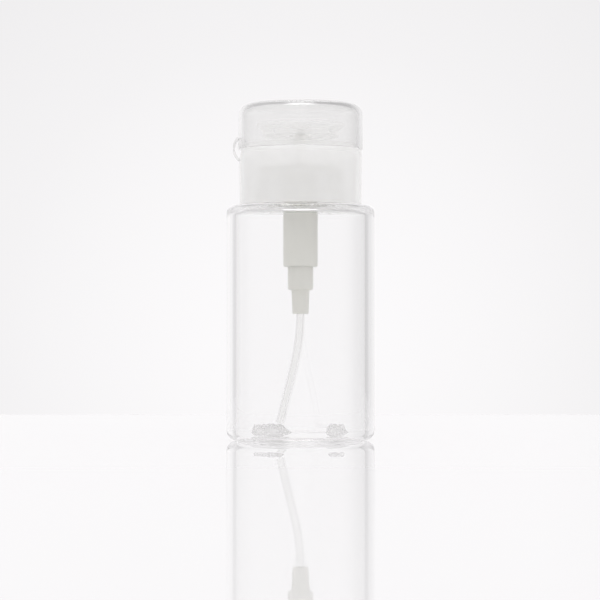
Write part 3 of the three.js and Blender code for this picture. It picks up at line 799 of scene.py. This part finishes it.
def make_pump_body():
    bore = PUMP_RADIUS - PUMP_WALL
    guide_pocket = PUMP_RADIUS - GUIDE_POCKET_WALL
    pocket_floor = flange_top - GUIDE_DEPTH - SEAT_GAP
    flange_base = flange_top - FLANGE_THICKNESS
    body = lathe("pump_cylinder", [
        (pump_flange, flange_base, SLIGHT_ROUNDING),
        (pump_flange, flange_top, SLIGHT_ROUNDING),
        (guide_pocket, flange_top),
        (guide_pocket, pocket_floor),
        (bore, pocket_floor),
        (bore, pump_base + LIP_HEIGHT),
        (bore - LIP_WIDTH, pump_base + LIP_HEIGHT),
        (bore - LIP_WIDTH, pump_base),
        (PUMP_RADIUS, pump_base, PUMP_END_ROUNDING),
        (PUMP_RADIUS, flange_base, EDGE_ROUNDING),
    ], natural)
    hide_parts("pump_body")
    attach(body, "pump")


def make_foot_valve():
    socket = TUBE_RADIUS + SLIDE_FIT
    radius = PUMP_RADIUS - PUMP_WALL - LIP_WIDTH - SLIDE_FIT
    bore = radius - FOOT_WALL
    spigot_base = spigot_top - SPIGOT_LENGTH
    nipple_top = foot_base + NIPPLE_LENGTH
    seat = foot_base + SEAT_HEIGHT
    valve = lathe("valve_cylinder", [
        (socket, foot_base),
        (NIPPLE_END, foot_base, EDGE_ROUNDING),
        (NIPPLE_TOP, nipple_top, SLIGHT_ROUNDING),
        (radius, nipple_top + FOOT_SHOULDER, EDGE_ROUNDING),
        (radius, spigot_base),
        (spigot_radius, spigot_base),
        (spigot_radius, spigot_top),
        (bore, spigot_top),
        (bore, seat + bore - INLET_BORE),
        (INLET_BORE, seat),
        (INLET_BORE, foot_base + SOCKET_DEPTH),
        (socket, foot_base + SOCKET_DEPTH),
    ], natural)
    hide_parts("foot_valve")
    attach(valve, "pump")


def tube_route():
    """The dip tube's middle line: straight from its socket, a bend, then straight to its tip."""
    bend_end = foot_base - TUBE_BEND * math.sin(TUBE_LEAN)
    points = rows((0, tube_top), (0, foot_base), TUBE_ROW)
    for i in range(CURVE_STEPS + 1):
        angle = TUBE_LEAN * i / CURVE_STEPS
        points.append((-TUBE_BEND * (1 - math.cos(angle)), foot_base - TUBE_BEND * math.sin(angle)))
    tip_middle = tube_tip + TUBE_RADIUS * math.sin(TUBE_LEAN)
    drop = bend_end - tip_middle
    x = points[-1][0]
    tip = (x - drop * math.tan(TUBE_LEAN), tip_middle)
    points += rows((x, bend_end), tip, TIP_ROW)[1:]
    points.append(tip)
    return [Vector((x, 0, z)) for x, z in points]


def make_dip_tube():
    route = tube_route()

    def ring_at(i, radius):
        before, after = route[max(0, i - 1)], route[min(len(route) - 1, i + 1)]
        along = (after - before).normalized()
        side = Vector((0, 1, 0))
        out = side.cross(along)
        angles = [2 * math.pi * s / SMALL_SEGMENTS for s in range(SMALL_SEGMENTS)]
        return [route[i] + radius * (math.cos(a) * out + math.sin(a) * side) for a in angles]

    outside = [ring_at(i, TUBE_RADIUS) for i in range(len(route))]
    inside = [ring_at(i, TUBE_RADIUS - TUBE_WALL) for i in range(len(route))]
    loop = outside + inside[::-1] + outside[:1]
    tube = tube_of_rings("suction_tube", loop, tubing, closed_ends=False)
    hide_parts("dip_tube")
    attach(tube, "pump")


def make_spring():
    middle = spring_outer - SPRING_WIRE / 2
    low = spring_base + SPRING_WIRE / 2
    high = spring_top - SPRING_WIRE / 2
    open_turns = SPRING_TURNS - 2 * SPRING_END_TURNS
    open_pitch = (high - low - 2 * SPRING_END_TURNS * SPRING_END_PITCH) / open_turns
    up = Vector((0, 0, 1))
    angles = [2 * math.pi * s / WIRE_SIDES for s in range(WIRE_SIDES)]
    rings = []
    for i in range(SPRING_TURNS * CURVE_STEPS + 1):
        turn = i / CURVE_STEPS
        closed = min(turn, SPRING_END_TURNS) + max(0, turn - SPRING_TURNS + SPRING_END_TURNS)
        opened = max(0, min(open_turns, turn - SPRING_END_TURNS))
        z = low + closed * SPRING_END_PITCH + opened * open_pitch
        out = Vector((math.cos(2 * math.pi * turn), math.sin(2 * math.pi * turn), 0))
        centre = out * middle + Vector((0, 0, z))
        rings.append([centre + SPRING_WIRE / 2 * (math.cos(a) * out + math.sin(a) * up)
                      for a in angles])
    spring = tube_of_rings("coil_spring", rings, metal)
    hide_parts("return_spring")
    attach(spring, "pump")
    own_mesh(spring)


def make_plunger():
    skirt_bore = plunger_radius - PLUNGER_SKIRT_WALL
    disc_base = boss_base + STEM_ENGAGEMENT + SEAT_GAP
    disc_top = disc_base + PLUNGER_DISC
    skirt_base = disc_top - PLUNGER_SKIRT_HEIGHT
    chamber = CHAMBER_BORE + CHAMBER_WALL
    plunger = lathe("press_disc", [
        (stem_socket, boss_base),
        (stem_socket + BOSS_WALL, boss_base, EDGE_ROUNDING),
        (stem_socket + BOSS_WALL, disc_base, EDGE_ROUNDING),
        (skirt_bore, disc_base, EDGE_ROUNDING),
        (skirt_bore, skirt_base),
        (plunger_radius, skirt_base, EDGE_ROUNDING),
        (plunger_radius, disc_top, EDGE_ROUNDING),
        (chamber, disc_top),
        (chamber, chamber_top),
        (CHAMBER_BORE, chamber_top),
        (CHAMBER_BORE, disc_base),
        (stem_socket, disc_base),
    ], milky_press, WIDE_SEGMENTS)
    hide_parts("press_plunger")
    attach(plunger, "plunger")


def make_tray():
    hole = CHAMBER_BORE + CHAMBER_WALL + SLIDE_FIT
    rim_low = tray_top - TRAY_RIM_HEIGHT - EDGE_ROUNDING
    tray = lathe("press_dish", [
        (hole, tray_base),
        (plunger_radius, tray_base, EDGE_ROUNDING),
        (tray_radius, rim_low, EDGE_ROUNDING),
        (tray_radius, tray_top, EDGE_ROUNDING),
        (tray_radius - TRAY_RIM, tray_top, EDGE_ROUNDING),
        (plunger_radius - TRAY_RIM, tray_base + TRAY_FLOOR + TRAY_FALL, TRAY_ROUNDING),
        (hole, tray_base + TRAY_FLOOR),
    ], milky_press, WIDE_SEGMENTS)
    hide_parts("press_tray")
    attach(tray, "plunger")


def make_nozzle():
    bore = CHAMBER_BORE + CHAMBER_WALL + SLIDE_FIT
    roof = nozzle_top - NOZZLE_TOP
    cap = lathe("slotted_nozzle", [
        (0, roof),
        (bore, roof),
        (bore, nozzle_base),
        (nozzle_radius, nozzle_base),
        (nozzle_radius, nozzle_top, EDGE_ROUNDING),
        (0, nozzle_top),
    ], milky_press, SMALL_SEGMENTS, is_ring=False)
    reach = CHAMBER_BORE + NOZZLE_REACH
    for length, width in ((reach * 2, NOZZLE_SLOT), (NOZZLE_SLOT, reach * 2)):
        slot = prism("slot", [
            (-length / 2, roof - CUT_OVERRUN),
            (length / 2, roof - CUT_OVERRUN),
            (length / 2, nozzle_top + CUT_OVERRUN),
            (-length / 2, nozzle_top + CUT_OVERRUN),
        ], width, milky)
        cut(cap, slot)
    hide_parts("nozzle_cap")
    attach(cap, "plunger")


def make_ball(name, node, body):
    low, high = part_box(node)
    middle = (low + high) / 2 / MM
    radius = (high.z - low.z) / 2 / MM
    angles = [math.pi * i / CURVE_STEPS for i in range(CURVE_STEPS + 1)]
    arc = [(radius * math.sin(a), middle.z - radius * math.cos(a)) for a in angles]
    arc[0] = (0, arc[0][1])
    arc[-1] = (0, arc[-1][1])
    ball = lathe(name, arc, metal, SMALL_SEGMENTS, is_ring=False)
    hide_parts(node)
    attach(ball, body)


def dress_inner_nodes():
    """The hidden inner pieces keep their solids and get their plastics."""
    finishes = {"rim_gasket": seal, "stem_wiper": seal, "piston_seal": seal,
                "stem_guide": milky_white, "ball_cage": natural, "piston_stem": milky_white}
    for name, material in finishes.items():
        node = frame["nodes"][name]
        node.data.materials.clear()
        node.data.materials.append(material)


def math_node(tree, operation, one, other):
    """A Math node of two sockets, or of a socket and a plain number."""
    node = tree.nodes.new("ShaderNodeMath")
    node.operation = operation
    tree.links.new(one, node.inputs[0])
    if isinstance(other, (int, float)):
        node.inputs[1].default_value = other
    else:
        tree.links.new(other, node.inputs[1])
    return node.outputs["Value"]


def seen_directly(tree):
    """1 for what is seen directly or through clear or glossy pieces, 0 for light on a dull surface."""
    rays = tree.nodes.new("ShaderNodeLightPath")
    seen = math_node(tree, "MAXIMUM", rays.outputs["Is Camera Ray"], rays.outputs["Is Glossy Ray"])
    seen = math_node(tree, "MAXIMUM", seen, rays.outputs["Is Transmission Ray"])
    clean = math_node(tree, "LESS_THAN", rays.outputs["Diffuse Depth"], FIRST_BOUNCE)
    return math_node(tree, "MULTIPLY", seen, clean)


def make_floor():
    """A pale glossy table top."""
    verts = [(-FLOOR_WIDTH, FLOOR_FRONT, 0), (FLOOR_WIDTH, FLOOR_FRONT, 0),
             (FLOOR_WIDTH, FLOOR_BACK, 0), (-FLOOR_WIDTH, FLOOR_BACK, 0)]
    material, tree, principled = shader("studio_floor", FLOOR_COLOR, 1.0, Specular_IOR_Level=0)
    gloss = tree.nodes.new("ShaderNodeBsdfGlossy")
    gloss.inputs["Color"].default_value = (1, 1, 1, 1)
    gloss.inputs["Roughness"].default_value = FLOOR_ROUGHNESS
    fresnel = tree.nodes.new("ShaderNodeFresnel")
    fresnel.inputs["IOR"].default_value = FLOOR_IOR
    mix = tree.nodes.new("ShaderNodeMixShader")
    tree.links.new(fresnel.outputs["Fac"], mix.inputs["Fac"])
    tree.links.new(principled.outputs["BSDF"], mix.inputs[1])
    tree.links.new(gloss.outputs["BSDF"], mix.inputs[2])
    tree.links.new(mix.outputs["Shader"], tree.nodes["Material Output"].inputs["Surface"])
    mesh = bpy.data.meshes.new("studio_floor")
    mesh.from_pydata([Vector(v) * MM for v in verts], [], [tuple(range(len(verts)))])
    mesh.materials.append(material)
    floor = bpy.data.objects.new("studio_floor", mesh)
    bpy.context.scene.collection.objects.link(floor)


def curve_of(tree, source, stops):
    """A curve through stops (input, value), driven by source."""
    start, end = stops[0][0], stops[-1][0]
    span = tree.nodes.new("ShaderNodeMapRange")
    span.inputs["From Min"].default_value = start
    span.inputs["From Max"].default_value = end
    tree.links.new(source, span.inputs["Value"])
    ramp = tree.nodes.new("ShaderNodeValToRGB")
    elements = ramp.color_ramp.elements
    while len(elements) < len(stops):
        elements.new(NEW_STOP)
    for element, (place, value) in zip(elements, stops):
        element.position = (place - start) / (end - start)
        element.color = (value, value, value, 1)
    tree.links.new(span.outputs["Result"], ramp.inputs["Fac"])
    return ramp.outputs["Color"]


def times(tree, one, other):
    """Two colours multiplied. other may be a plain colour."""
    node = tree.nodes.new("ShaderNodeVectorMath")
    node.operation = "MULTIPLY"
    tree.links.new(one, node.inputs[0])
    if isinstance(other, tuple):
        node.inputs[1].default_value = other
    else:
        tree.links.new(other, node.inputs[1])
    return node.outputs["Vector"]


def choose(tree, share, off, on):
    """off where share is 0 and on where it is 1. off may be a plain level."""
    mix = tree.nodes.new("ShaderNodeMix")
    mix.data_type = "VECTOR"
    tree.links.new(share, mix.inputs[0])
    if isinstance(off, (int, float)):
        mix.inputs[MIX_OFF].default_value = (off, off, off)
    else:
        tree.links.new(off, mix.inputs[MIX_OFF])
    tree.links.new(on, mix.inputs[MIX_ON])
    return mix.outputs[MIX_RESULT]


def make_world():
    """Plain soft light on surfaces. What is seen is a white backdrop in a dimmer pale studio."""
    world = bpy.data.worlds.new("studio")
    bpy.context.scene.world = world
    world.use_nodes = True
    tree = world.node_tree
    background = tree.nodes["Background"]
    place = tree.nodes.new("ShaderNodeTexCoord")
    split = tree.nodes.new("ShaderNodeSeparateXYZ")
    tree.links.new(place.outputs["Generated"], split.inputs["Vector"])
    studio = curve_of(tree, split.outputs["Y"], STUDIO_DEPTH)
    studio = times(tree, studio, curve_of(tree, split.outputs["X"], STUDIO_SIDE))
    studio = times(tree, studio, curve_of(tree, split.outputs["Z"], STUDIO_HEIGHT))
    backdrop = curve_of(tree, split.outputs["Y"], BACKDROP_CORNERS)
    rays = tree.nodes.new("ShaderNodeLightPath")
    seen = choose(tree, rays.outputs["Is Camera Ray"], studio, backdrop)
    light = choose(tree, seen_directly(tree), LIGHT_LEVEL, seen)
    tree.links.new(times(tree, light, STUDIO_TINT), background.inputs["Color"])


def make_camera():
    data = bpy.data.cameras.new("camera")
    data.lens = CAMERA_LENS
    data.sensor_width = CAMERA_SENSOR
    data.clip_end = CAMERA_REACH * MM
    camera = bpy.data.objects.new("camera", data)
    camera.location = Vector((CAMERA_SIDE, -CAMERA_DISTANCE, CAMERA_HEIGHT)) * MM
    camera.rotation_euler = (math.pi / 2 + CAMERA_PITCH, 0, 0)
    bpy.context.scene.collection.objects.link(camera)
    bpy.context.scene.camera = camera


make_camera()
make_bottle()
make_closure()
make_lid()
make_strap()
make_pump_body()
make_foot_valve()
make_dip_tube()
make_spring()
make_plunger()
make_tray()
make_nozzle()
make_ball("inlet_check_ball", "inlet_ball", "inlet_ball")
make_ball("outlet_check_ball", "outlet_ball", "outlet_ball")
dress_inner_nodes()
make_floor()
make_world()

scene = bpy.context.scene
scene.view_settings.view_transform = "Standard"
scene.cycles.max_bounces = GLASS_BOUNCES
scene.cycles.transmission_bounces = GLASS_BOUNCES
scene.cycles.glossy_bounces = GLASS_BOUNCES
scene.cycles.diffuse_bounces = GLASS_BOUNCES
scene.cycles.transparent_max_bounces = GLASS_BOUNCES
scene.cycles.blur_glossy = 0
